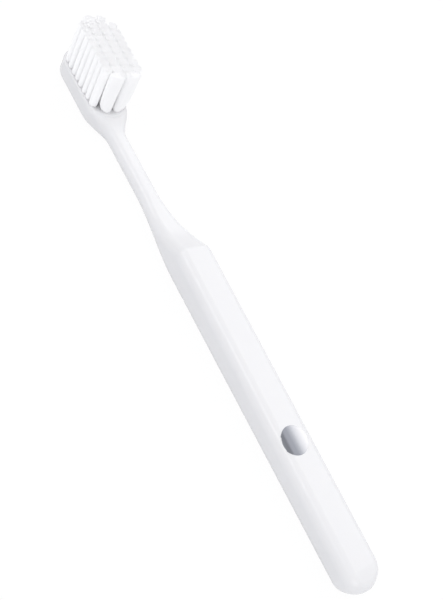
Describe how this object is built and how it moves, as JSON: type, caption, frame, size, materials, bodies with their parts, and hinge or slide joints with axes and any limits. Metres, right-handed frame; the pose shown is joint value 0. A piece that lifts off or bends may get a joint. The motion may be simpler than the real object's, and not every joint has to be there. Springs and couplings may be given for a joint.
{
  "type": "manual toothbrush",
  "caption": "Slim white toothbrush with a straight rounded-box grip, hollow thumb ramp, narrow neck and round-ended head plate carrying columns of anchored bristle tufts.",
  "frame": {"origin": "centre of the bounding box in X and Y, on the flat back of the grip in Z", "axes": "+X from the butt to the toe of the head, +Y across the brush, +Z from the flat back to the bristle tips"},
  "size_m": [0.1724, 0.0136, 0.02],
  "materials": {
    "handle_plastic": "smooth glossy injection-moulded white plastic",
    "bristle": "fine white nylon strands",
    "anchor_metal": "plain rolled strip"
  },
  "bodies": {
    "root": {"handle": "handle_plastic", "tuft_anchors": "anchor_metal", "tuft_1_1": "bristle", "tuft_1_2": "bristle", "tuft_1_3": "bristle", "tuft_1_4": "bristle", "tuft_1_5": "bristle", "tuft_1_6": "bristle", "tuft_1_7": "bristle", "tuft_1_8": "bristle", "tuft_2_1": "bristle", "tuft_2_2": "bristle", "tuft_2_3": "bristle", "tuft_2_4": "bristle", "tuft_2_5": "bristle", "tuft_2_6": "bristle", "tuft_2_7": "bristle", "tuft_2_8": "bristle", "tuft_2_9": "bristle", "tuft_2_10": "bristle", "tuft_3_1": "bristle", "tuft_3_2": "bristle", "tuft_3_3": "bristle", "tuft_3_4": "bristle", "tuft_3_5": "bristle", "tuft_3_6": "bristle", "tuft_3_7": "bristle", "tuft_3_8": "bristle", "tuft_3_9": "bristle", "tuft_3_10": "bristle", "tuft_4_1": "bristle", "tuft_4_2": "bristle", "tuft_4_3": "bristle", "tuft_4_4": "bristle", "tuft_4_5": "bristle", "tuft_4_6": "bristle", "tuft_4_7": "bristle", "tuft_4_8": "bristle"}
  },
  "joints": []
}
